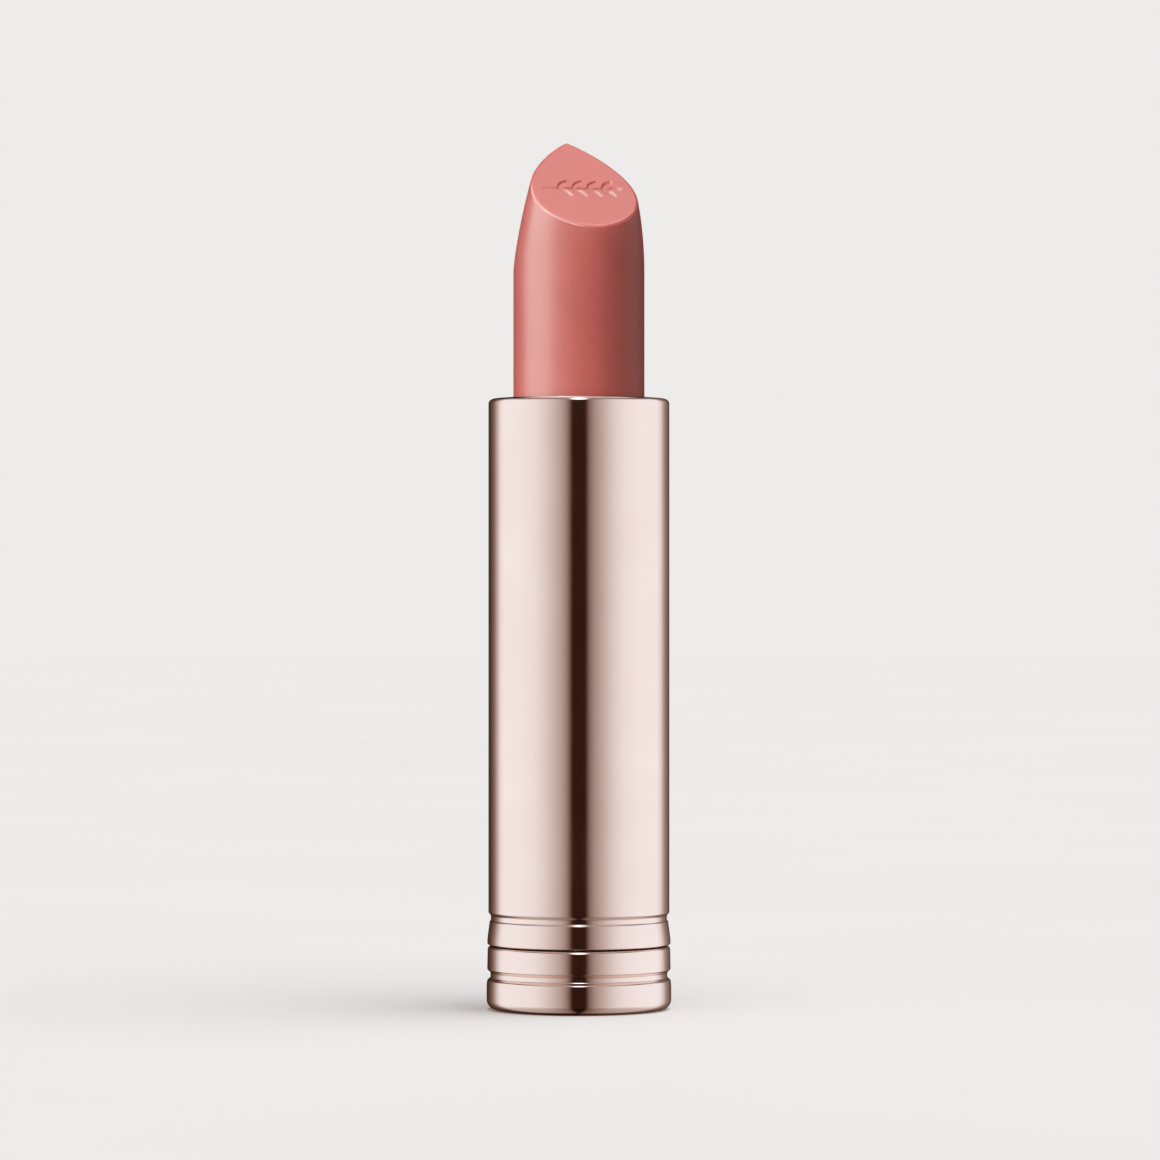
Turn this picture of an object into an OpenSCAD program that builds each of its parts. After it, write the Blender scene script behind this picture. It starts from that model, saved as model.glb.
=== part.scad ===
// Twist-up lipstick refill. A long metal sleeve turns on a ringed metal foot.
// A spiral cam inside the sleeve drives the two lugs of the cup that carries the bullet.
// The bullet stands fully raised. Its slanted face looks towards -Y.
// Lengths are millimetres. The origin is the centre of the underside, and +Z is up.

/* [Sleeve] */
// Height of the sleeve's rim above the underside
rim_z = 56.3; // [55.5:0.1:58]
// Outer radius of the sleeve
sleeve_r = 8.35; // [8.33:0.01:8.45]
// Thickness of the sheet metal
wall = 0.4; // [0.35:0.01:0.4]
// Radius of the rounded edge at the rim
rim_round = 0.45; // [0.41:0.01:0.8]
// Radius of the opening that the bullet passes through
mouth_r = 6.65; // [6.3:0.05:6.9]

/* [Rings] */
// Radius at the bottom of the sleeve's rolled groove
upper_groove_r = 8.12; // [8.08:0.01:8.16]
// Height of the middle of the sleeve's rolled groove
upper_groove_z = 8.44; // [8.4:0.01:8.6]
// Largest radius of the flared ring that ends the sleeve
flare_r = 8.45; // [8.4:0.01:8.5]
// Radius of the ring at the top of the foot
top_ring_r = 8.46; // [8.4:0.01:8.5]
// Radius at the bottom of the foot's rolled groove
lower_groove_r = 8.16; // [8.12:0.01:8.2]
// Height of the middle of the foot's rolled groove
lower_groove_z = 3.2; // [3.1:0.02:3.3]
// Radius of the ring at the bottom of the foot
foot_ring_r = 8.52; // [8.48:0.01:8.6]
// Height of the foot's upper edge
seam_z = 5.88; // [5.8:0.01:5.95]
// Width of the gap between sleeve and foot
seam_gap = 0.12; // [0.1:0.01:0.2]
// Radius of the rounded bottom edge
foot_round = 0.95; // [0.7:0.05:1.1]

/* [Bullet] */
// Radius of the wax bullet
bullet_r = 6.05; // [5.9:0.01:6.05]
// Height of the bullet's tip when fully raised
tip_z = 80.5; // [79:0.1:82]
// Height where the sides start to draw in
shoulder_z = 68; // [66:0.1:69]
// Slope of the slanted face, in degrees
face_slope = 39.2; // [36:0.1:42]
// Half of the slanted face's greatest width
face_half_w = 4.97; // [4.8:0.01:5.1]
// Distance from the axis to the low end of the slanted face
face_low_r = 5.93; // [5.8:0.01:6]
// Distance from the axis to the pointed high end of the slanted face
face_high_r = 4.6; // [4.2:0.1:5]
// Radius of the softened edge around the face
face_round = 0.16; // [0.1:0.02:0.25]

/* [Mechanism] */
// Distance that the bullet travels
travel = 27; // [20:0.5:27]
// Travel for one full turn of the sleeve
lead = 18; // [14:0.5:20]
// Diameter of the cup's two lugs
lug_d = 1.7; // [1.4:0.1:1.8]
// Height of the lugs when the bullet is fully raised
lug_z = 38.5; // [38.5:0.1:40]
// Outer radius of the cup
cup_r = 6.52; // [6.5:0.01:6.54]
// Running clearance between the turning plastic tubes
running_gap = 0.05; // [0.03:0.01:0.08]

/* [Hidden] */
$fn = 96;

// Sheet metal of the sleeve and foot
sleeve_z = seam_z + seam_gap;
sleeve_edge = 0.12;
flare_top_z = sleeve_z + 0.48;
lip_r = flare_r - 0.21;
shoulder_r = foot_ring_r - 0.05;
groove_floor_h = 0.32;
groove_wall_h = 0.42;
lip_wall_h = 0.2;
edge_round = wall - 0.05;
top_land_r = top_ring_r - 0.04;
foot_flat_r = foot_ring_r - foot_round;
fit_gap = 0.02;

// Recess under the foot and its label
label_recess_r = 6.3;
label_recess = 0.15;
recess_slope = 0.1;
label_r = 6.15;
label_t = 0.12;

// Plastic liner of the foot
liner_z = wall + label_recess + fit_gap;
liner_foot_r = label_recess_r + 2.5 * recess_slope;
liner_floor_t = 0.65;
liner_bore_r = 7.35;
liner_top_z = seam_z - edge_round;

// Guide tube
body_r = 7.1;
body_bore_r = 6.6;
body_z = liner_z + liner_floor_t;
body_floor_t = 0.8;
body_top_z = rim_z - 0.6;
skirt_r = 7.25;
rib_tip_r = 7.38;
rib_count = 20;
rib_r = 0.2;
collar_r = 7.85;
collar_t = 0.8;
bead_r = 7.45;
bead_h = 0.73;
bead_taper = 0.4;
body_edge = 0.13;
rib_foot = 0.3;
rib_h = 3.6;
slot_depth = 3;
slot_play = 0.2;
slot_w = lug_d + slot_play;
slot_z0 = lug_z - travel - slot_w / 2;
slot_z1 = lug_z + slot_w / 2;

// Silicone ring on the collar
ring_section_r = 0.34;
ring_r = body_r + fit_gap + ring_section_r;
ring_z = liner_top_z + collar_t + ring_section_r;

// Spiral cam
cam_r = sleeve_r - wall - fit_gap;
cam_bore_r = body_r + running_gap;
cam_end_gap = 0.1;
cam_z = ring_z + ring_section_r + 0.04;
cam_step_z = upper_groove_z + groove_floor_h / 2 + groove_wall_h;
cam_step_r = upper_groove_r - wall - 0.06;
cam_top_z = rim_z - wall - cam_end_gap;
cam_edge = 0.15;
cam_recess_r = bead_r + cam_end_gap;
cam_recess_z = body_top_z - bead_h - 0.07;
track_skin = 0.25;
track_play = 0.3;
track_root = 0.1;
track_r = cam_r - track_skin;
track_w = (lug_d + track_play) / cos(atan(lead / (2 * PI * body_r)));
track_over = 14;
track_step = 7.5;

// Elevator cup
cup_bore_r = bullet_r + 0.05;
cup_z = lug_z - 2.5;
cup_h = 16;
cup_floor_z = lug_z + 0.7;
cup_floor_t = 1;
cup_skirt_t = 0.7;
cup_edge = 0.15;
cup_rib_r = 0.25;
cup_rib_h = 9;
cup_rib_count = 6;
lug_root = 0.4;
lug_tip_gap = 0.18;
lug_reach = track_r - lug_tip_gap;

// Bullet
bullet_z = cup_floor_z + cup_floor_t;
tear_low = 0.55;
tear_high = 0.9;
face_dip = 0.02;
nose_steps = 72;
nose_rings = 12;
nose_foot_r = bullet_r - 0.01;
nose_root = 2;
side_bend = 1.62;
side_lean = 1.3;
side_bow = 1.5;
rib_mark = 0.04;

// Points on an arc about c, from angle a0 to angle a1
function arc(c, r, a0, a1, n = 8) =
    [for (i = [0:n]) c + r * [cos(a0 + (a1 - a0) * i / n), sin(a0 + (a1 - a0) * i / n)]];

// Points on a smooth S-shaped step from a to b, level with the axis at both ends
function ease(a, b, n = 10) =
    [for (i = [0:n]) [a.x + (b.x - a.x) * (1 - cos(180 * i / n)) / 2, a.y + (b.y - a.y) * i / n]];

function reversed(list) = [for (i = [len(list) - 1:-1:0]) list[i]];
function moved_in(list, t) = [for (p = list) [p.x - t, p.y]];

// Outline of a rolled groove with its middle at height z, upwards from radius r0 below it to
// radius r1 above it. Its lower wall is h0 tall.
function groove(z, r, r0, h0, r1) = concat(
    ease([r0, z - groove_floor_h / 2 - h0], [r, z - groove_floor_h / 2]),
    ease([r, z + groove_floor_h / 2], [r1, z + groove_floor_h / 2 + groove_wall_h]));

// Outline of the rings and groove of the foot, upwards from the foot's rounded edge
foot_side = concat(
    [[foot_ring_r, lower_groove_z - 5 * lip_wall_h]],
    groove(lower_groove_z, lower_groove_r, shoulder_r, 2 * lip_wall_h, top_ring_r),
    [[top_land_r, seam_z - edge_round]]);

// Outline of the flare and groove of the sleeve, upwards from the flare
sleeve_side = concat(
    [[flare_r, flare_top_z]],
    groove(upper_groove_z, upper_groove_r, lip_r, lip_wall_h, sleeve_r));

// Share of the slanted face's plan length, from its low end to its tip, at step i of the bullet.
// Steps run once round the bullet and are closest together at the two ends of the face.
function face_share(i) = (1 - cos(360 * i / nose_steps)) / 2;

// Half-width of the teardrop at share t: round at the low end and pointed at the tip
function teardrop(t) =
    let (t_max = tear_low / (tear_low + tear_high))
    face_half_w * pow(t / t_max, tear_low) * pow((1 - t) / (1 - t_max), tear_high);

// Point of the face's edge at step i, in plan
function face_edge(i) =
    let (t = face_share(i), side = i > nose_steps / 2 ? -1 : 1)
    [side * teardrop(t), -face_low_r + (face_low_r + face_high_r) * t];

// Height of the slanted face at distance y behind the axis
function face_z(y) = tip_z + (y - face_high_r) * tan(face_slope);

// How late the side leaves the cylinder on its way up: late at the front, early at the back
function side_power(c) = side_bend + side_lean * c + side_bow * c * c;

// Point of the bullet's side at step i, at share t of the way from shoulder to face
function nose_point(i, t) =
    let (edge = face_edge(i), edge_r = norm(edge), out = edge / edge_r,
         r = nose_foot_r - (nose_foot_r - edge_r) * pow(t, side_power(-out.y)),
         top = face_z(edge.y) - face_round)
    [r * out.x, r * out.y, shoulder_z + (top - shoulder_z) * t];

// Point of the slanted face at step i, drawn in from its edge by the softened edge
function face_point(i) =
    let (edge = face_edge(i), inner = edge * (1 - face_round / norm(edge)))
    [inner.x, inner.y, face_z(inner.y) - face_dip];

// Solid of the nose, from inside the cylinder below the shoulder to the slanted face
module nose() {
    n = nose_steps;
    foot = [for (i = [0:n - 1]) nose_point(i, 0) - [0, 0, nose_root]];
    side = [for (k = [0:nose_rings], i = [0:n - 1]) nose_point(i, k / nose_rings)];
    face = [for (i = [0:n - 1]) face_point(i)];
    rings = nose_rings + 3;
    foot_centre = [0, 0, shoulder_z - nose_root];
    face_centre = [0, 0, face_z(0) - face_dip];
    points = concat(foot, side, face, [foot_centre, face_centre]);
    walls = [for (k = [0:rings - 2], i = [0:n - 1])
        [k * n + i, (k + 1) * n + i, (k + 1) * n + (i + 1) % n, k * n + (i + 1) % n]];
    bottom = [for (i = [0:n - 1]) [rings * n, i, (i + 1) % n]];
    top = [for (i = [0:n - 1]) [rings * n + 1, (rings - 1) * n + (i + 1) % n, (rings - 1) * n + i]];
    polyhedron(points, concat(walls, bottom, top), convexity = 4);
}

// Room for one lug as the sleeve turns: a right-hand helix with a square section
module helix_track() {
    a0 = -360 * travel / lead - track_over;
    n = ceil((track_over - a0) / track_step);
    inner_r = body_r - track_root;
    points = [for (i = [0:n])
        let (a = a0 + (track_over - a0) * i / n, z = lug_z + lead * a / 360)
        for (c = [[inner_r, -1], [track_r, -1], [track_r, 1], [inner_r, 1]])
            [c.x * cos(a), c.x * sin(a), z + c.y * track_w / 2]];
    sides = [for (i = [0:n - 1], j = [0:3])
        let (k = (j + 1) % 4)
        each [[4 * i + j, 4 * i + k, 4 * i + 4 + k], [4 * i + j, 4 * i + 4 + k, 4 * i + 4 + j]]];
    polyhedron(points, concat(sides, [[3, 2, 1, 0], [4 * n, 4 * n + 1, 4 * n + 2, 4 * n + 3]]),
        convexity = 8);
}

module base_shell() {
    color("#c79a8c")
    rotate_extrude() polygon(concat(
        [[0, label_recess], [label_recess_r, label_recess], [label_recess_r + recess_slope, 0]],
        arc([foot_flat_r, foot_round], foot_round, -90, 0),
        foot_side,
        arc([top_land_r - edge_round, seam_z - edge_round], edge_round, 0, 90),
        [[top_land_r - wall, seam_z]],
        moved_in(reversed(foot_side), wall),
        reversed(arc([foot_flat_r, foot_round], foot_round - wall, -90, 0)),
        [[label_recess_r + 2 * recess_slope, wall], [label_recess_r + recess_slope, liner_z - fit_gap],
         [0, liner_z - fit_gap]]));
}

module base_insert() {
    color("#d8d2cb")
    rotate_extrude() polygon(concat(
        [[0, liner_z], [label_recess_r + recess_slope, liner_z], [liner_foot_r, wall + fit_gap]],
        arc([foot_flat_r, foot_round], foot_round - wall - fit_gap, -90, 0),
        moved_in(foot_side, wall + fit_gap),
        [[liner_bore_r, liner_top_z], [liner_bore_r, body_z], [0, body_z]]));
}

module shade_label() {
    color("#efe6df")
    translate([0, 0, label_recess - label_t]) cylinder(r = label_r, h = label_t);
}

module inner_body() {
    color("#35221c")
    difference() {
        union() {
            rotate_extrude() polygon([
                [0, body_z], [skirt_r, body_z], [skirt_r, liner_top_z],
                [collar_r, liner_top_z], [collar_r, liner_top_z + collar_t],
                [body_r, liner_top_z + collar_t], [body_r, body_top_z - bead_h],
                [bead_r, body_top_z - bead_h], [bead_r, body_top_z - bead_taper],
                [body_r, body_top_z], [body_bore_r + body_edge, body_top_z],
                [body_bore_r, body_top_z - body_edge], [body_bore_r, body_z + body_floor_t],
                [0, body_z + body_floor_t]]);
            for (i = [0:rib_count - 1])
                rotate(360 * (i + 0.5) / rib_count)
                translate([rib_tip_r - rib_r, 0, body_z + rib_foot])
                cylinder(r = rib_r, h = rib_h, $fn = 24);
        }
        for (side = [-1, 1]) {
            translate([side * body_r, 0, (slot_z0 + slot_z1) / 2])
            cube([slot_depth, slot_w, slot_z1 - slot_z0 - slot_w], center = true);
            for (z = [slot_z0 + slot_w / 2, slot_z1 - slot_w / 2])
                translate([side * body_r, 0, z])
                rotate([0, 90, 0]) cylinder(d = slot_w, h = slot_depth, center = true);
        }
    }
}

module brake_ring() {
    color("#4a4442")
    rotate_extrude() translate([ring_r, ring_z]) circle(r = ring_section_r);
}

module outer_sleeve() {
    color("#d0a395")
    rotate_extrude() polygon(concat(
        [[flare_r - wall, sleeve_z]],
        arc([flare_r - sleeve_edge, sleeve_z + sleeve_edge], sleeve_edge, -90, 0, 4),
        sleeve_side,
        arc([sleeve_r - rim_round, rim_z - rim_round], rim_round, 0, 90),
        arc([mouth_r + wall / 2, rim_z - wall / 2], wall / 2, 90, 270),
        [[sleeve_r - wall, rim_z - wall]],
        moved_in(reversed(sleeve_side), wall)));
}

module spiral_cam() {
    color("#e6e2dc")
    difference() {
        rotate_extrude() polygon([
            [cam_bore_r, cam_z], [cam_step_r, cam_z], [cam_step_r, cam_step_z],
            [cam_r, cam_step_z], [cam_r, cam_top_z - cam_edge], [cam_r - cam_edge, cam_top_z],
            [cam_recess_r, cam_top_z], [cam_recess_r, cam_recess_z], [cam_bore_r, cam_recess_z]]);
        for (start = [0, 180]) rotate(start) helix_track();
    }
}

// Ribs that key the wax into the cup, larger by extra all round
module cup_ribs(extra) {
    for (i = [0:cup_rib_count - 1])
        rotate(360 * (i + 0.5) / cup_rib_count)
        translate([cup_bore_r + cup_rib_r / 5, 0, bullet_z - extra])
        cylinder(r = cup_rib_r + extra, h = cup_rib_h + 2 * extra, $fn = 24);
}

module elevator_cup() {
    color("#d9a78f")
    union() {
        rotate_extrude() polygon([
            [0, cup_floor_z], [cup_r - cup_skirt_t, cup_floor_z], [cup_r - cup_skirt_t, cup_z],
            [cup_r, cup_z], [cup_r, cup_z + cup_h - cup_edge], [cup_r - cup_edge, cup_z + cup_h],
            [cup_bore_r + cup_edge, cup_z + cup_h], [cup_bore_r, cup_z + cup_h - cup_edge],
            [cup_bore_r, bullet_z], [0, bullet_z]]);
        cup_ribs(0);
        for (side = [0, 180])
            rotate(side)
            translate([cup_r - lug_root, 0, lug_z])
            rotate([0, 90, 0]) cylinder(d = lug_d, h = lug_reach - cup_r + lug_root);
    }
}

module lipstick_bullet() {
    color("#d98a82")
    difference() {
        union() {
            translate([0, 0, bullet_z]) cylinder(r = bullet_r, h = shoulder_z - bullet_z);
            nose();
        }
        cup_ribs(rib_mark);
    }
}

base_shell();
base_insert();
shade_label();
inner_body();
brake_ring();
outer_sleeve();
spiral_cam();
elevator_cup();
lipstick_bullet();
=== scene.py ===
"""Looks for the twist-up lipstick refill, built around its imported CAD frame."""
import math

import bpy
import numpy as np
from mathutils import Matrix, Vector


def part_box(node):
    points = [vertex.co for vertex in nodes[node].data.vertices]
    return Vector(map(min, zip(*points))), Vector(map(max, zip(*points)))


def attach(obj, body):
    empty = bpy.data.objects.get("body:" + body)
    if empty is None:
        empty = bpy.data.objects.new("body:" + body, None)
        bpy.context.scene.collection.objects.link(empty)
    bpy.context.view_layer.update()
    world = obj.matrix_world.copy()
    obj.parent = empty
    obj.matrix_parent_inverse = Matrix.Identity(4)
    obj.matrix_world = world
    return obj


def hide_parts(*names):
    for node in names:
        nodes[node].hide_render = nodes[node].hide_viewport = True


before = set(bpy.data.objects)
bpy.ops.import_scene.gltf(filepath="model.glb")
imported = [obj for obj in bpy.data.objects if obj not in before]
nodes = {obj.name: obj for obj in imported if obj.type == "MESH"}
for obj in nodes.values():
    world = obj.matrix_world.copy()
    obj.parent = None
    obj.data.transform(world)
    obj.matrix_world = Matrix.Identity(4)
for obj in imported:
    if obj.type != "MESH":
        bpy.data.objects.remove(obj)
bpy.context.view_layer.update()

MM = 0.001

# ---------------------------------------------------------------- sizes, in millimetres
WALL = 0.4
LATHE_STEPS = 240

# Taken from the CAD nodes
rim_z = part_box("outer_sleeve")[1].z / MM
sleeve_foot_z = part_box("outer_sleeve")[0].z / MM
flare_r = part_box("outer_sleeve")[1].x / MM
foot_ring_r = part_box("base_shell")[1].x / MM
foot_top_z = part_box("base_shell")[1].z / MM
bullet_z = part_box("lipstick_bullet")[0].z / MM
bullet_top_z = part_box("lipstick_bullet")[1].z / MM
bullet_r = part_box("lipstick_bullet")[1].x / MM

# Rolled grooves: radius and height of the middle, then the heights of the floor and the walls
SLEEVE_GROOVE = (8.12, 8.44)
FOOT_GROOVE = (8.16, 3.2)
GROOVE_FLOOR_H, GROOVE_WALL_H = 0.32, 0.42
SLEEVE_LIP_H, FOOT_LIP_H = 0.2, 0.4

# Sleeve: flared ring, its soft knee, the groove's lower lip, curled rim
FLARE_OUT = 0.1
SLEEVE_EDGE_R = 0.12
KNEE_UP = 0.48
KNEE_BELOW, KNEE_ABOVE, KNEE_IN = 0.2, 0.24, 0.032
SLEEVE_LIP_IN = 0.21
RIM_ROUND = 0.45
MOUTH_R = 6.65
sleeve_r = flare_r - FLARE_OUT

# Foot: how far each part is inside the bottom ring, its rounded edges and the recess for the label
TOP_RING_IN, SHOULDER_IN, LAND_IN = 0.06, 0.05, 0.1
FOOT_ROUND = 0.95
FOOT_EDGE_R = WALL - 0.05
RING_TOP_DROP, RING_TOP_H, RING_TOP_IN = 1.0, 0.2, 0.01
RECESS_R, RECESS_DEPTH, RECESS_SLOPE = 6.3, 0.15, 0.1


# ---------------------------------------------------------------- outlines
def arc(centre, radius, start, end, steps):
    """Points (r, z) on an arc, from one angle to another in degrees."""
    angles = np.radians(np.linspace(start, end, steps + 1))
    return [(centre[0] + radius * math.cos(a), centre[1] + radius * math.sin(a)) for a in angles]


def ease(a, b, steps=18):
    """Points on a smooth S-shaped step between two (r, z) points."""
    (a_r, a_z), (b_r, b_z) = a, b
    points = []
    for i in range(steps + 1):
        s = i / steps
        points.append((a_r + (b_r - a_r) * (1 - math.cos(math.pi * s)) / 2, a_z + (b_z - a_z) * s))
    return points


def moved_in(points, distance):
    """The same points in reverse order, nearer to the axis."""
    return [(r - distance, z) for r, z in reversed(points)]


def rounded_line(a, corner, b, steps=6):
    """Points of a soft bend from a to b that leans towards the corner."""
    a, corner, b = (np.array(p) for p in (a, corner, b))
    shares = [i / steps for i in range(steps + 1)]
    return [tuple((1 - s) ** 2 * a + 2 * s * (1 - s) * corner + s * s * b) for s in shares]


def groove(middle, below_r, lip_h, above_r):
    """Points of a rolled groove, upwards. It takes its middle, the radii beside it and the lip's height."""
    r, z = middle
    low, high = z - GROOVE_FLOOR_H / 2, z + GROOVE_FLOOR_H / 2
    return ease((below_r, low - lip_h), (r, low)) + ease((r, high), (above_r, high + GROOVE_WALL_H))


def sleeve_outline():
    """Closed outline of the metal sleeve: flare, rolled groove, plain tube and curled rim."""
    knee_z = sleeve_foot_z + KNEE_UP
    knee_end = (flare_r - KNEE_IN, knee_z + KNEE_ABOVE)
    side = rounded_line((flare_r, knee_z - KNEE_BELOW), (flare_r, knee_z), knee_end)
    side += groove(SLEEVE_GROOVE, flare_r - SLEEVE_LIP_IN, SLEEVE_LIP_H, sleeve_r)
    outline = arc((flare_r - SLEEVE_EDGE_R, sleeve_foot_z + SLEEVE_EDGE_R), SLEEVE_EDGE_R, -90, 0, 8)
    outline += side
    outline += arc((sleeve_r - RIM_ROUND, rim_z - RIM_ROUND), RIM_ROUND, 0, 90, 18)
    outline += arc((MOUTH_R + WALL / 2, rim_z - WALL / 2), WALL / 2, 90, 270, 16)
    outline += [(sleeve_r - WALL, rim_z - WALL)]
    outline += moved_in(side, WALL)
    outline += [(flare_r - WALL, sleeve_foot_z)]
    return outline


def foot_outline():
    """Closed outline of the metal foot: dished underside, rounded edge, two rings and a rolled groove."""
    flat_r = foot_ring_r - FOOT_ROUND
    land_r = foot_ring_r - LAND_IN
    shoulder_r = foot_ring_r - SHOULDER_IN
    ring_top_z = FOOT_GROOVE[1] - RING_TOP_DROP
    bend = (foot_ring_r - RING_TOP_IN, ring_top_z + RING_TOP_H)
    wall_foot = (shoulder_r, FOOT_GROOVE[1] - GROOVE_FLOOR_H / 2 - FOOT_LIP_H)
    side = rounded_line((foot_ring_r, ring_top_z), bend, wall_foot)[:-1]
    side += groove(FOOT_GROOVE, shoulder_r, FOOT_LIP_H, foot_ring_r - TOP_RING_IN)
    outline = [(0, RECESS_DEPTH), (RECESS_R, RECESS_DEPTH), (RECESS_R + RECESS_SLOPE, 0)]
    outline += arc((flat_r, FOOT_ROUND), FOOT_ROUND, -90, 0, 24)
    outline += side
    outline += arc((land_r - FOOT_EDGE_R, foot_top_z - FOOT_EDGE_R), FOOT_EDGE_R, 0, 90, 12)
    outline += [(land_r - WALL, foot_top_z)]
    outline += moved_in(side, WALL)
    outline += list(reversed(arc((flat_r, FOOT_ROUND), FOOT_ROUND - WALL, -90, 0, 10)))
    outline += [(RECESS_R + 2 * RECESS_SLOPE, WALL), (RECESS_R + RECESS_SLOPE, WALL + RECESS_DEPTH)]
    outline += [(0, WALL + RECESS_DEPTH)]
    return outline


# ---------------------------------------------------------------- meshes
def add_mesh(name, verts, faces, sharp_degrees):
    """A new mesh object from points in millimetres, smooth except at edges sharper than the given angle."""
    mesh = bpy.data.meshes.new(name)
    mesh.from_pydata([tuple(float(c) * MM for c in v) for v in verts], [], faces)
    mesh.validate()
    mesh.shade_smooth()
    mesh.set_sharp_from_angle(angle=math.radians(sharp_degrees))
    piece = bpy.data.objects.new(name, mesh)
    bpy.context.scene.collection.objects.link(piece)
    return piece


def lathe(name, outline, sharp_degrees=32):
    """Turns a closed outline round the Z axis. Points on the axis become one vertex."""
    verts, rings = [], []
    for r, z in outline:
        if r < 1e-6:
            rings.append([len(verts)] * LATHE_STEPS)
            verts.append((0, 0, z))
            continue
        first = len(verts)
        for k in range(LATHE_STEPS):
            a = 2 * math.pi * k / LATHE_STEPS
            verts.append((r * math.cos(a), r * math.sin(a), z))
        rings.append(list(range(first, first + LATHE_STEPS)))
    faces = []
    for low, high in zip(rings, rings[1:] + rings[:1]):
        for k in range(LATHE_STEPS):
            n = (k + 1) % LATHE_STEPS
            corners = list(dict.fromkeys([low[k], low[n], high[n], high[k]]))
            if len(corners) > 2:
                faces.append(corners)
    return add_mesh(name, verts, faces, sharp_degrees)


# The bullet's nose follows the same rule as its CAD solid.
SHOULDER_Z = 68.0
FACE_TAN = math.tan(math.radians(39.2))
FACE_HALF_W = 4.97
FACE_LOW_R, FACE_HIGH_R = 5.93, 4.6
FACE_MIDDLE_Y = -1.0
TEAR_LOW, TEAR_HIGH = 0.55, 0.9
SIDE_BEND, SIDE_LEAN, SIDE_BOW = 1.62, 1.3, 1.5
TIP_Z = bullet_top_z + 0.10  # where the face would meet the side if the tip weren't softened
# Size of the softened edge round the face, and how close it keeps to the sharp corner
EDGE_SIZE, EDGE_PULL = 0.22, 0.5
RIM_GLOSS = "rim_gloss"
# Points in one ring, and the number of rings on each part of the bullet
NOSE_STEPS = 400
PLAIN_RINGS, SIDE_RINGS, EDGE_RINGS, FACE_RINGS = 8, 60, 9, 150


def face_height(y):
    """Height of the slanted face over a plan y."""
    return TIP_Z + (y - FACE_HIGH_R) * FACE_TAN


def face_edge(step):
    """Point of the slanted face's edge in plan, once round the bullet from its low side."""
    t = (1 - math.cos(2 * math.pi * step / NOSE_STEPS)) / 2
    widest = TEAR_LOW / (TEAR_LOW + TEAR_HIGH)
    half = FACE_HALF_W * (t / widest) ** TEAR_LOW * max(0.0, (1 - t) / (1 - widest)) ** TEAR_HIGH
    side = -1 if step > NOSE_STEPS / 2 else 1
    return np.array([side * half, -FACE_LOW_R + (FACE_LOW_R + FACE_HIGH_R) * t])


def side_point(edge, t):
    """Point of the bullet's side under that point of the face's edge, at share t of the way up."""
    edge_r = np.hypot(*edge)
    out = edge / edge_r
    power = SIDE_BEND - SIDE_LEAN * out[1] + SIDE_BOW * out[1] ** 2
    r = bullet_r - (bullet_r - edge_r) * t ** power
    z = SHOULDER_Z + (face_height(edge[1]) - SHOULDER_Z) * t
    return np.array([r * out[0], r * out[1], z])


# The pressed ornament is a plain leafy sprig that lies across the face.
SPRIG_DEPTH = 0.22
SPRIG_Y = -1.25
SPRIG_HALF_LENGTH = 3.85
STEM_HALF_W = 0.13
LEAF_LENGTH, LEAF_HALF_W, LEAF_ANGLE = 1.75, 0.33, math.radians(48)
LEAF_PAIRS, LEAF_PITCH, LEAF_START = 4, 1.4, 0.25
WALL_SOFTNESS = 0.03


def leaf_gap(x, up, root_x, angle):
    """Distance outside a leaf, a pointed oval that grows from the stem at root_x; negative inside it."""
    radius = (LEAF_LENGTH ** 2 / 4 + LEAF_HALF_W ** 2) / (2 * LEAF_HALF_W)
    along = (x - root_x) * math.cos(angle) + up * math.sin(angle) - LEAF_LENGTH / 2
    across = np.abs(up * math.cos(angle) - (x - root_x) * math.sin(angle))
    return np.hypot(along, across + radius - LEAF_HALF_W) - radius


def sprig_press(x, y):
    """How deep the ornament is pressed at plan points x, y: arrays in, depth in millimetres out."""
    up = (y - SPRIG_Y) * math.hypot(1, FACE_TAN)
    stem_end = SPRIG_HALF_LENGTH - LEAF_LENGTH
    on_stem = np.clip(x, STEM_HALF_W - SPRIG_HALF_LENGTH, stem_end)
    gap = np.hypot(x - on_stem, up) - STEM_HALF_W
    gap = np.minimum(gap, leaf_gap(x, up, stem_end, 0))
    for k in range(LEAF_PAIRS):
        root_x = stem_end - LEAF_START - k * LEAF_PITCH
        for angle in (LEAF_ANGLE, -LEAF_ANGLE):
            gap = np.minimum(gap, leaf_gap(x, up, root_x, angle))
    share = np.clip(0.5 - gap / (2 * WALL_SOFTNESS), 0, 1)
    return SPRIG_DEPTH * share * share * (3 - 2 * share)


def curve_point(start, a, b, finish, s):
    """Point at share s of a cubic curve."""
    return (1 - s) ** 3 * start + 3 * s * (1 - s) ** 2 * a + 3 * s * s * (1 - s) * b + s ** 3 * finish


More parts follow.
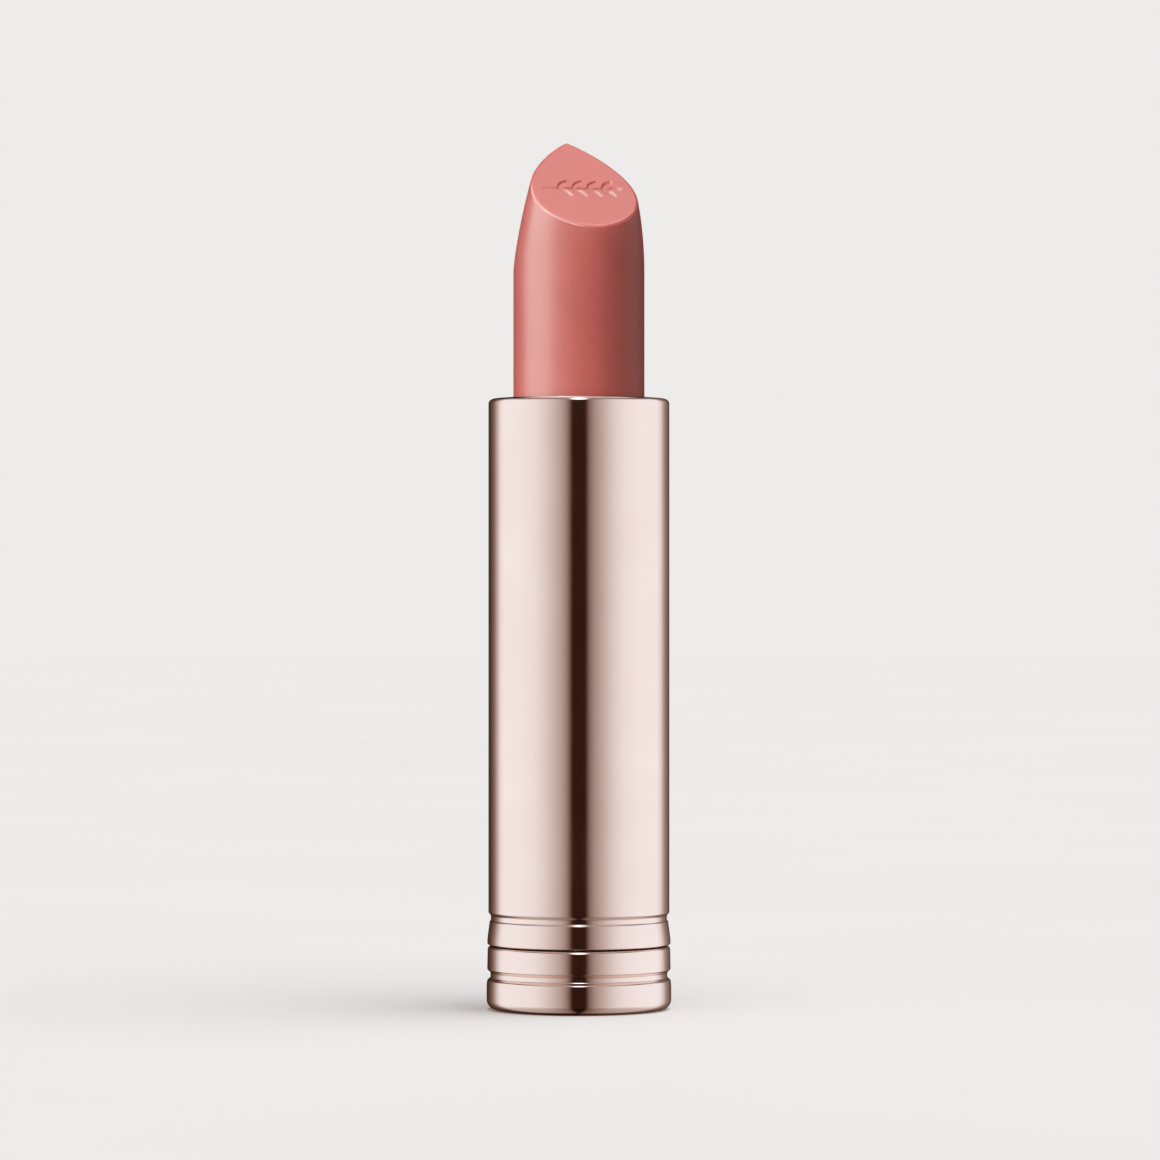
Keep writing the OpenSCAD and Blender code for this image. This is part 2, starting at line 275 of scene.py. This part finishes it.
def bullet_mesh():
    """The wax bullet: plain cylinder, tapering nose, softened edge and slanted face with its ornament."""
    edges = [face_edge(i) for i in range(NOSE_STEPS)]
    rings = []
    for z in np.linspace(bullet_z, SHOULDER_Z - 0.5, PLAIN_RINGS):
        ring = []
        for edge in edges:
            out = edge / np.hypot(*edge)
            ring.append((bullet_r * out[0], bullet_r * out[1], z))
        rings.append(ring)
    for k in range(SIDE_RINGS + 1):
        ring = []
        for edge in edges:
            top = 1 - EDGE_SIZE / (face_height(edge[1]) - SHOULDER_Z)
            ring.append(side_point(edge, top * k / SIDE_RINGS))
        rings.append(ring)
    gloss = [0.0] * (len(rings) - 1) + [1.0] * (EDGE_RINGS + 1) + [0.0] * (FACE_RINGS - 1)
    starts, centre = rings[-1], np.array([0.0, FACE_MIDDLE_Y])
    inner = []
    for edge in edges:
        to_centre = centre - edge
        inner.append(edge + to_centre / np.hypot(*to_centre) * EDGE_SIZE)
    for k in range(1, EDGE_RINGS + 1):
        ring = []
        for start, edge, end in zip(starts, edges, inner):
            corner = np.array([*edge, face_height(edge[1])])
            finish = np.array([*end, face_height(end[1])])
            a, b = start + (corner - start) * EDGE_PULL, finish + (corner - finish) * EDGE_PULL
            ring.append(curve_point(start, a, b, finish, k / EDGE_RINGS))
        rings.append(ring)
    for k in range(1, FACE_RINGS):
        plan = np.array([end + (centre - end) * k / FACE_RINGS for end in inner])
        heights = face_height(plan[:, 1]) - sprig_press(plan[:, 0], plan[:, 1])
        rings.append(np.column_stack([plan, heights]))
    verts = [tuple(p) for ring in rings for p in ring]
    foot, middle = len(verts), len(verts) + 1
    verts += [(0, 0, bullet_z), (*centre, face_height(centre[1]))]
    n, last = NOSE_STEPS, (len(rings) - 1) * NOSE_STEPS
    faces = [(foot, (i + 1) % n, i) for i in range(n)]
    for low in range(0, last, n):
        high = low + n
        faces += [(low + i, low + (i + 1) % n, high + (i + 1) % n, high + i) for i in range(n)]
    faces += [(last + i, last + (i + 1) % n, middle) for i in range(n)]
    piece = add_mesh("wax_bullet", verts, faces, 60)
    shine = piece.data.attributes.new(RIM_GLOSS, "FLOAT", "POINT")
    shine.data.foreach_set("value", [g for g in gloss for _ in range(NOSE_STEPS)] + [0.0, 0.0])
    return piece


# ---------------------------------------------------------------- materials
def feed(tree, socket, value):
    """Gives a socket a constant or a link."""
    if isinstance(value, bpy.types.NodeSocket):
        tree.links.new(value, socket)
    else:
        socket.default_value = value


def colour_mix(tree, factor, a, b, blend_type="MIX"):
    """Colour output of a mix of a and b. Each input is a constant or a socket."""
    made = tree.nodes.new("ShaderNodeMix")
    made.data_type = "RGBA"
    made.blend_type = blend_type
    for socket, value in zip((made.inputs[0], made.inputs[6], made.inputs[7]), (factor, a, b)):
        feed(tree, socket, value)
    return made.outputs[2]


class Shader:
    """A small builder for a node material around one Principled shader."""

    def __init__(self, name):
        self.material = bpy.data.materials.new(name)
        self.material.use_nodes = True
        self.tree = self.material.node_tree
        self.bsdf = self.tree.nodes["Principled BSDF"]
        self.place = self.tree.nodes.new("ShaderNodeTexCoord").outputs["Object"]

    def set(self, **values):
        """Sets the shader's inputs, each to a constant or a link. Underscores stand for spaces."""
        for key, value in values.items():
            feed(self.tree, self.bsdf.inputs[key.replace("_", " ")], value)

    def noise(self, scale, detail=2.0, stretch=(1, 1, 1)):
        """Noise value output. Stretch multiplies the place along each axis first."""
        mapping = self.tree.nodes.new("ShaderNodeMapping")
        mapping.inputs["Scale"].default_value = stretch
        feed(self.tree, mapping.inputs["Vector"], self.place)
        made = self.tree.nodes.new("ShaderNodeTexNoise")
        made.inputs["Scale"].default_value = scale
        made.inputs["Detail"].default_value = detail
        feed(self.tree, made.inputs["Vector"], mapping.outputs["Vector"])
        return made.outputs["Fac"]

    def spread(self, value, low, high, from_low=0.3, from_high=0.7):
        """Maps a value range to another."""
        made = self.tree.nodes.new("ShaderNodeMapRange")
        made.inputs["From Min"].default_value = from_low
        made.inputs["From Max"].default_value = from_high
        made.inputs["To Min"].default_value = low
        made.inputs["To Max"].default_value = high
        feed(self.tree, made.inputs["Value"], value)
        return made.outputs["Result"]

    def blend(self, noise, dark, light):
        """Colour that wanders between two with a noise."""
        return colour_mix(self.tree, self.spread(noise, 0, 1), (*dark, 1), (*light, 1))

    def mix(self, value, a, b):
        """Number between a socket and a constant, by a value from 0 to 1."""
        made = self.tree.nodes.new("ShaderNodeMix")
        for socket, given in zip((made.inputs[0], made.inputs[2], made.inputs[3]), (value, a, b)):
            feed(self.tree, socket, given)
        return made.outputs[0]

    def attribute(self, name):
        """Value output of a mesh attribute."""
        made = self.tree.nodes.new("ShaderNodeAttribute")
        made.attribute_name = name
        return made.outputs["Fac"]

    def bump(self, value, distance, strength):
        """Normal output with a fine relief."""
        made = self.tree.nodes.new("ShaderNodeBump")
        made.inputs["Distance"].default_value = distance
        made.inputs["Strength"].default_value = strength
        feed(self.tree, made.inputs["Height"], value)
        return made.outputs["Normal"]


def rose_gold():
    """Bright anodised aluminium: faint polishing lines round the case, slightly duller on worn patches."""
    s = Shader("rose_gold_metal")
    lines = s.noise(scale=60, detail=3, stretch=(1, 1, 160))
    patches = s.noise(scale=140)
    s.set(Base_Color=s.blend(patches, (0.85, 0.655, 0.585), (0.88, 0.685, 0.615)))
    s.set(Roughness=s.spread(patches, low=0.075, high=0.115))
    s.set(Normal=s.bump(lines, distance=0.0000015, strength=0.6))
    s.set(Metallic=1.0)
    return s.material


def wax():
    """Creamy wax: soft sheen, fine pigment grain, uneven colour and a glossier edge round the face."""
    s = Shader("lipstick_wax")
    clouds = s.noise(scale=260, detail=3)
    grain = s.noise(scale=5200)
    s.set(Base_Color=s.blend(clouds, (0.650, 0.142, 0.116), (0.690, 0.156, 0.128)))
    s.set(Roughness=s.mix(s.attribute(RIM_GLOSS), s.spread(grain, low=0.33, high=0.42), 0.2))
    s.set(Normal=s.bump(grain, distance=0.000004, strength=0.5))
    s.set(Subsurface_Weight=0.05, Subsurface_Radius=(1.0, 0.35, 0.25), Subsurface_Scale=0.0006)
    s.set(IOR=1.45)
    return s.material


def plastic(name, dark, light, roughness, grain_scale=3000):
    """Moulded plastic with a fine grain and uneven gloss."""
    s = Shader(name)
    grain = s.noise(scale=grain_scale)
    clouds = s.noise(scale=350)
    s.set(Base_Color=s.blend(clouds, dark, light))
    s.set(Roughness=s.spread(grain, low=roughness - 0.05, high=roughness + 0.07))
    s.set(Normal=s.bump(grain, distance=0.000006, strength=0.5))
    return s.material


metal_look = rose_gold()
wax_look = wax()
NODE_LOOKS = {
    "elevator_cup": plastic("cup_plastic", (0.70, 0.42, 0.33), (0.76, 0.47, 0.38), 0.28),
    "inner_body": plastic("guide_plastic", (0.034, 0.014, 0.010), (0.046, 0.020, 0.015), 0.4),
    "spiral_cam": plastic("cam_plastic", (0.76, 0.73, 0.68), (0.82, 0.79, 0.75), 0.35),
    "base_insert": plastic("liner_plastic", (0.62, 0.58, 0.52), (0.68, 0.64, 0.58), 0.45),
    "brake_ring": plastic("silicone", (0.014, 0.012, 0.011), (0.024, 0.020, 0.019), 0.22, 1500),
    "shade_label": plastic("label_film", (0.78, 0.70, 0.64), (0.84, 0.77, 0.71), 0.5, 6000),
}


def dress(piece, material):
    """Gives a piece one material."""
    piece.data.materials.clear()
    piece.data.materials.append(material)


# ---------------------------------------------------------------- pieces
sleeve = lathe("metal_sleeve", sleeve_outline())
foot = lathe("metal_foot", foot_outline())
bullet = bullet_mesh()

for piece, body, node, slot, look in (
    (sleeve, "sleeve", "outer_sleeve", "rose_gold_metal", metal_look),
    (foot, "base", "base_shell", "rose_gold_metal", metal_look),
    (bullet, "elevator", "lipstick_bullet", "lipstick_wax", wax_look),
):
    dress(piece, look)
    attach(piece, body)
    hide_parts(node)

for name, look in NODE_LOOKS.items():
    dress(nodes[name], look)


# ---------------------------------------------------------------- studio, in metres and degrees
CAMERA_AZIMUTH = math.radians(-15)
TO_CAMERA = Vector((math.sin(CAMERA_AZIMUTH), -math.cos(CAMERA_AZIMUTH), 0))
TO_RIGHT = Vector((math.cos(CAMERA_AZIMUTH), math.sin(CAMERA_AZIMUTH), 0))
CAMERA_DISTANCE, CAMERA_HEIGHT = 0.470, 0.0373
AIM_HEIGHT, AIM_RIGHT = 0.0396, 0.0001
LENS_MM, SENSOR_MM = 158, 36
FLOOR_R, DOME_R = 3.0, 1.2
BACKDROP = (0.85, 0.85 * 0.985, 0.85 * 0.975, 1)
FILL_LIGHT = 0.19


def around(degrees, distance, height):
    """A place at an angle from the camera's side of the object: positive to its right."""
    a = math.radians(degrees)
    return (TO_CAMERA * math.cos(a) + TO_RIGHT * math.sin(a)) * distance + Vector((0, 0, height))


def add_camera():
    """The camera at the photo's angle."""
    data = bpy.data.cameras.new("camera")
    data.lens = LENS_MM
    data.sensor_width = SENSOR_MM
    data.clip_start, data.clip_end = 0.02, 20
    camera = bpy.data.objects.new("camera", data)
    bpy.context.scene.collection.objects.link(camera)
    camera.location = around(0, CAMERA_DISTANCE, CAMERA_HEIGHT)
    aim = Vector((0, 0, AIM_HEIGHT)) + TO_RIGHT * AIM_RIGHT
    camera.rotation_euler = (aim - camera.location).to_track_quat("-Z", "Y").to_euler()
    bpy.context.scene.camera = camera


def seen_by(piece, camera=False, glossy=False, shadow=False):
    """Sets which rays see a stage piece; the others pass through it."""
    piece.visible_camera = camera
    piece.visible_diffuse = False
    piece.visible_glossy = glossy
    piece.visible_transmission = False
    piece.visible_shadow = shadow


def lit_only(light, pieces, name):
    """Light linking: this light reaches only these pieces."""
    group = bpy.data.collections.new(name)
    for piece in pieces:
        group.objects.link(piece)
    light.light_linking.receiver_collection = group


def add_floor():
    """A plain pale floor that takes shadows and throws no light back."""
    bpy.ops.mesh.primitive_circle_add(vertices=96, radius=FLOOR_R, fill_type="NGON")
    floor = bpy.context.object
    floor.name = "floor"
    s = Shader("pale_floor")
    s.set(Base_Color=s.blend(s.noise(scale=9, detail=3), (0.80, 0.785, 0.775), (0.82, 0.805, 0.795)))
    s.set(Roughness=1.0, Specular_IOR_Level=0.0)
    dress(floor, s.material)
    seen_by(floor, camera=True, shadow=True)
    return floor


# Brightness of the surroundings by angle from the camera's side of the object, positive to the right
SIDE_LIGHT = (
    (-180, 0.02), (-155, 0.08), (-145, 0.135), (-137, 0.25), (-131, 0.42), (-125, 0.67), (-118, 0.92),
    (-110, 1.0), (-85, 1.0), (-60, 0.94), (-46, 0.83), (-38, 0.735), (-23, 0.53), (-18, 0.42),
    (-13.6, 0.28), (-10.3, 0.11), (-8.2, 0.03), (8.8, 0.03), (12.1, 0.20), (15.5, 0.31), (20, 0.42),
    (25, 0.50), (38, 0.70), (46, 0.82), (60, 0.93), (85, 1.0), (117, 1.0), (125, 0.88), (131, 0.72),
    (137, 0.46), (145, 0.28), (165, 0.10),
)
# Share of that brightness by height angle: the soft boxes end above and below
HEIGHT_FADE = ((-90, 0.20), (-64, 0.50), (-38, 0.64), (-22, 1.0), (28, 1.0), (48, 0.15), (90, 0.08))
DOME_STRENGTH = 1.035
COOL_TINT = (1, 1.11, 1.19, 1)
# A pale ceiling: the height angles where it starts and is full, and its brightness
CEILING_START, CEILING_FULL, CEILING_LEVEL = 46, 62, 0.6
# A tall oval lamp above the camera: height angle of its middle, half its width and height, brightness
LAMP_MIDDLE, LAMP_HALF_W, LAMP_HALF_H, LAMP_LEVEL = 50, 12, 24, 2.6
# Where the lamp starts and is full, as shares of the way from its middle to its oval outline
LAMP_START, LAMP_FULL = 1.5, 0.3


def glow_colour(level):
    """The dim parts of the surroundings are warm."""
    return (level, level ** 1.3, level ** 1.45, 1)


def add_dome(pieces):
    """Surroundings that only the case's polished parts reflect: a tall soft box on each side, a dark gap
    at the camera with a small lamp above it, a dark room behind and a pale ceiling."""
    bpy.ops.mesh.primitive_uv_sphere_add(segments=64, ring_count=32, radius=DOME_R)
    dome = bpy.context.object
    dome.name = "reflection_dome"
    material = bpy.data.materials.new("reflection_dome")
    material.use_nodes = True
    tree = material.node_tree
    tree.nodes.clear()
    new, link = tree.nodes.new, tree.links.new
    unit = new("ShaderNodeVectorMath")
    unit.operation = "NORMALIZE"
    link(new("ShaderNodeTexCoord").outputs["Object"], unit.inputs[0])

    def dot(direction):
        made = new("ShaderNodeVectorMath")
        made.operation = "DOT_PRODUCT"
        link(unit.outputs[0], made.inputs[0])
        made.inputs[1].default_value = direction
        return made.outputs["Value"]

    def calc(operation, *values):
        made = new("ShaderNodeMath")
        made.operation = operation
        for socket, value in zip(made.inputs, values):
            feed(tree, socket, value)
        return made.outputs[0]

    def ramp(value, stops):
        made = new("ShaderNodeValToRGB")
        line = made.color_ramp.elements
        while len(line) < len(stops):
            line.new(0.5)
        for element, (at, level) in zip(line, stops):
            element.position = at
            element.color = glow_colour(level)
        link(value, made.inputs["Fac"])
        return made.outputs["Color"]

    def soft_step(value, start, full):
        made = new("ShaderNodeMapRange")
        made.interpolation_type = "SMOOTHSTEP"
        made.inputs["From Min"].default_value = start
        made.inputs["From Max"].default_value = full
        link(value, made.inputs["Value"])
        return made.outputs["Result"]

    # Turn and height are the side and height angles as shares of 360 and 180 degrees, 0.5 at the camera.
    turn = calc("ARCTAN2", dot(tuple(TO_RIGHT)), dot(tuple(TO_CAMERA)))
    turn = calc("MULTIPLY_ADD", turn, 0.5 / math.pi, 0.5)
    height = calc("MULTIPLY_ADD", calc("ARCSINE", dot((0, 0, 1))), 1 / math.pi, 0.5)
    sides = ramp(turn, [(d / 360 + 0.5, v) for d, v in SIDE_LIGHT])
    fade = ramp(height, [(d / 180 + 0.5, v) for d, v in HEIGHT_FADE])
    room = colour_mix(tree, 1, sides, fade, "MULTIPLY")
    ceiling = soft_step(height, CEILING_START / 180 + 0.5, CEILING_FULL / 180 + 0.5)
    room = colour_mix(tree, ceiling, room, glow_colour(CEILING_LEVEL))
    across = calc("MULTIPLY_ADD", turn, 360 / LAMP_HALF_W, -180 / LAMP_HALF_W)
    along = calc("MULTIPLY_ADD", height, 180 / LAMP_HALF_H, -(90 + LAMP_MIDDLE) / LAMP_HALF_H)
    from_lamp = calc("ADD", calc("MULTIPLY", across, across), calc("MULTIPLY", along, along))
    lamp = soft_step(calc("SQRT", from_lamp), LAMP_START, LAMP_FULL)
    room = colour_mix(tree, lamp, room, (LAMP_LEVEL, LAMP_LEVEL, LAMP_LEVEL, 1))
    glow = new("ShaderNodeEmission")
    glow.inputs["Strength"].default_value = DOME_STRENGTH
    link(colour_mix(tree, 1, room, COOL_TINT, "MULTIPLY"), glow.inputs["Color"])
    link(glow.outputs[0], new("ShaderNodeOutputMaterial").inputs["Surface"])
    material.cycles.emission_sampling = "NONE"
    dome.data.materials.append(material)
    seen_by(dome, glossy=True)
    lit_only(dome, pieces, "reflects_dome")


def add_light(name, kind, energy, place, receivers, size=None, colour=(1, 1, 1)):
    """A light that aims at the object and reaches only the receivers."""
    data = bpy.data.lights.new(name, kind)
    data.energy = energy
    data.color = colour
    if kind == "AREA":
        data.shape = "RECTANGLE"
        data.size, data.size_y = size
    light = bpy.data.objects.new(name, data)
    bpy.context.scene.collection.objects.link(light)
    light.location = place
    light.rotation_euler = (Vector((0, 0, 0.05)) - Vector(place)).to_track_quat("-Z", "Y").to_euler()
    light.visible_camera = False
    lit_only(light, receivers, "lit_by_" + name)
    return light


def add_lights(floor):
    """Soft boxes for the wax and plastics, three for the wax's highlights alone, and the floor's light."""
    shaded = [bullet, *[nodes[name] for name in NODE_LOOKS]]
    key = add_light("key_soft_box", "AREA", 2.75, around(-43, 0.5, 0.14), shaded, size=(0.5, 0.5))
    add_light("top_soft_box", "AREA", 1.47, (0.06, -0.02, 0.55), shaded, size=(0.34, 0.34))
    back = add_light("back_soft_box", "AREA", 3.2, around(176, 0.5, 0.16), shaded, size=(0.45, 0.5))
    for light in (key, back):
        light.visible_glossy = False
    for name, energy, place, size, colour in (
        ("sheen_soft_box", 18.5, around(-78, 0.5, 0.40), (0.74, 1.1), (0.41, 1, 0.97)),
        ("gleam_soft_box", 4.5, around(-20, 0.33, 0.47), (0.5, 0.24), (0.5, 1, 0.98)),
        ("rim_soft_box", 0.3, around(112, 0.5, 0.10), (0.4, 0.5), (0.8, 0.95, 1)),
    ):
        light = add_light(name, "AREA", energy, place, [bullet], size=size, colour=colour)
        light.visible_diffuse = False
    overhead = add_light("overhead", "SUN", 2.8, (0.2, -0.2, 1.0), [floor])
    overhead.data.angle = math.radians(70)


def add_world():
    """An even pale backdrop that gives a little fill light."""
    world = bpy.data.worlds.new("studio")
    bpy.context.scene.world = world
    world.use_nodes = True
    tree = world.node_tree
    back = tree.nodes["Background"]
    back.inputs["Color"].default_value = BACKDROP
    fill = tree.nodes.new("ShaderNodeBackground")
    fill.inputs["Color"].default_value = (1, 1, 1, 1)
    fill.inputs["Strength"].default_value = FILL_LIGHT
    mix = tree.nodes.new("ShaderNodeMixShader")
    path = tree.nodes.new("ShaderNodeLightPath")
    tree.links.new(path.outputs["Is Camera Ray"], mix.inputs[0])
    tree.links.new(fill.outputs[0], mix.inputs[1])
    tree.links.new(back.outputs[0], mix.inputs[2])
    tree.links.new(mix.outputs[0], tree.nodes["World Output"].inputs["Surface"])


add_camera()
floor = add_floor()
add_dome([sleeve, foot])
add_lights(floor)
add_world()
bpy.context.scene.view_settings.view_transform = "Standard"
